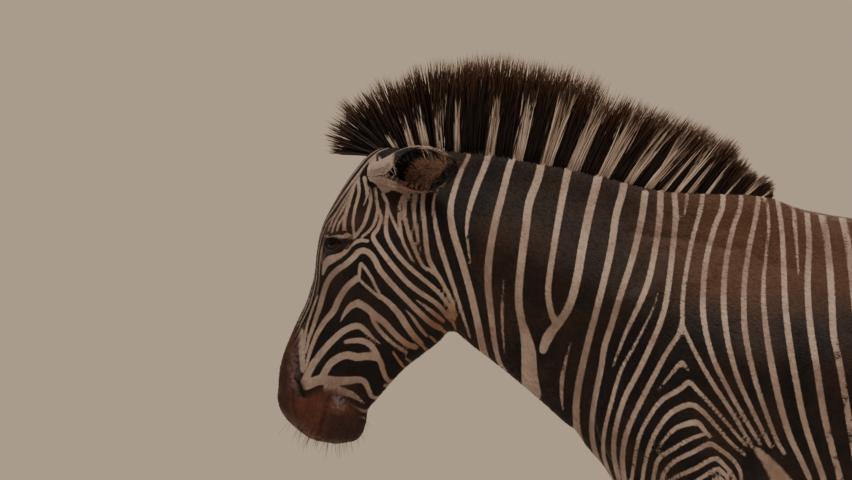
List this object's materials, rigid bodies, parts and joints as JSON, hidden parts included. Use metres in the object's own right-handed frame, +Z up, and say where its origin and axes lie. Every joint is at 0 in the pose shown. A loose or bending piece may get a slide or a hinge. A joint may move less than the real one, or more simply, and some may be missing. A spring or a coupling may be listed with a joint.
{
  "type": "grevy's zebra, standing, still model",
  "caption": "Life-size standing zebra with narrow stripes, upright mane, rounded ears and lowered face; a still display animal that rests on its hooves.",
  "frame": {"origin": "on the floor, under the middle of the animal's length and width", "axes": "+Z up, +X towards the tail, +Y towards the animal's right side"},
  "size_m": [2.2452, 0.552, 1.7459],
  "materials": {
    "coat": "short flat hair in black-brown and cream stripes",
    "hair": "stiff upright hair, black with cream bands and brown tips",
    "hoof": "dark grey horn with growth rings",
    "eye": "wet dark brown"
  },
  "bodies": {
    "root": {"head": "coat", "neck": "coat", "trunk": "coat", "ear_left": "coat", "ear_right": "coat", "forearm_left": "coat", "forearm_right": "coat", "thigh_left": "coat", "thigh_right": "coat", "cannon_fore_left": "coat", "cannon_fore_right": "coat", "cannon_hind_left": "coat", "cannon_hind_right": "coat", "tail_dock": "coat", "mane": "hair", "tail_tuft": "hair", "hoof_fore_left": "hoof", "hoof_fore_right": "hoof", "hoof_hind_left": "hoof", "hoof_hind_right": "hoof", "eye_left": "eye", "eye_right": "eye"}
  },
  "joints": []
}
